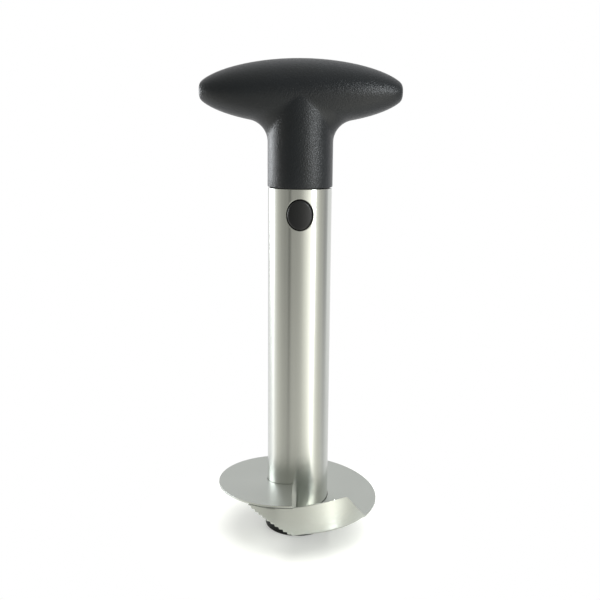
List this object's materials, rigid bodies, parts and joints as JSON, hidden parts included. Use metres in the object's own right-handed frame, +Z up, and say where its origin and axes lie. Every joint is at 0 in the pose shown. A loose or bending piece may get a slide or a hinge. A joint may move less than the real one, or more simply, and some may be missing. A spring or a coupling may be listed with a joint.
{
  "type": "pineapple corer and slicer",
  "caption": "Hand-turned fruit corer and slicer: a steel tube with a spiral ring blade, a guard on its toothed end and a T-handle that push buttons release.",
  "frame": {"origin": "on the tube's axis, at the height of the surface that the tool stands on, under the guard cap", "axes": "+Z up along the tube towards the handle, X along the grip, -Y towards the front push button"},
  "size_m": [0.0998, 0.0844, 0.2429],
  "materials": {
    "tube_steel": "polished along the tube, with soft bands",
    "blade_steel": "satin sheet",
    "weld_steel": "rippled weld",
    "guard_plastic": "fine grain",
    "grip_plastic": "fine moulded grain",
    "carrier_plastic": "smooth moulded",
    "button_plastic": "smooth with a soft bevel",
    "screw_steel": "zinc plated",
    "spring_steel": "drawn wire"
  },
  "bodies": {
    "blade_unit": {"core_tube": "tube_steel", "ring_blade": "blade_steel", "weld_bead": "weld_steel"},
    "guard": {"guard_cap": "guard_plastic"},
    "handle": {"handle_shell_front": "grip_plastic", "handle_shell_rear": "grip_plastic", "handle_screw_1": "screw_steel", "handle_screw_2": "screw_steel", "handle_screw_3": "screw_steel", "handle_screw_4": "screw_steel", "button_carrier": "carrier_plastic", "carrier_cover": "carrier_plastic", "cover_screw_left": "screw_steel", "cover_screw_right": "screw_steel", "button_spring_front": "spring_steel", "button_spring_rear": "spring_steel"},
    "front_button": {"button_front": "button_plastic"},
    "rear_button": {"button_rear": "button_plastic"}
  },
  "joints": [
    {"name": "handle_lift", "type": "slide", "parent": "blade_unit", "child": "handle", "axis": [0, 0, 1], "range_m": [0, 0.132]},
    {"name": "guard_pull", "type": "slide", "parent": "blade_unit", "child": "guard", "axis": [0, 0, -1], "range_m": [0, 0.03]},
    {"name": "front_button_press", "type": "slide", "parent": "handle", "child": "front_button", "axis": [0, 1, 0], "range_m": [0, 0.003], "stiffness_N_per_m": 500, "springref_m": -0.005, "deforming": ["button_spring_front"]},
    {"name": "rear_button_press", "type": "slide", "parent": "handle", "child": "rear_button", "axis": [0, -1, 0], "range_m": [0, 0.003], "stiffness_N_per_m": 500, "springref_m": -0.005, "deforming": ["button_spring_rear"]}
  ]
}
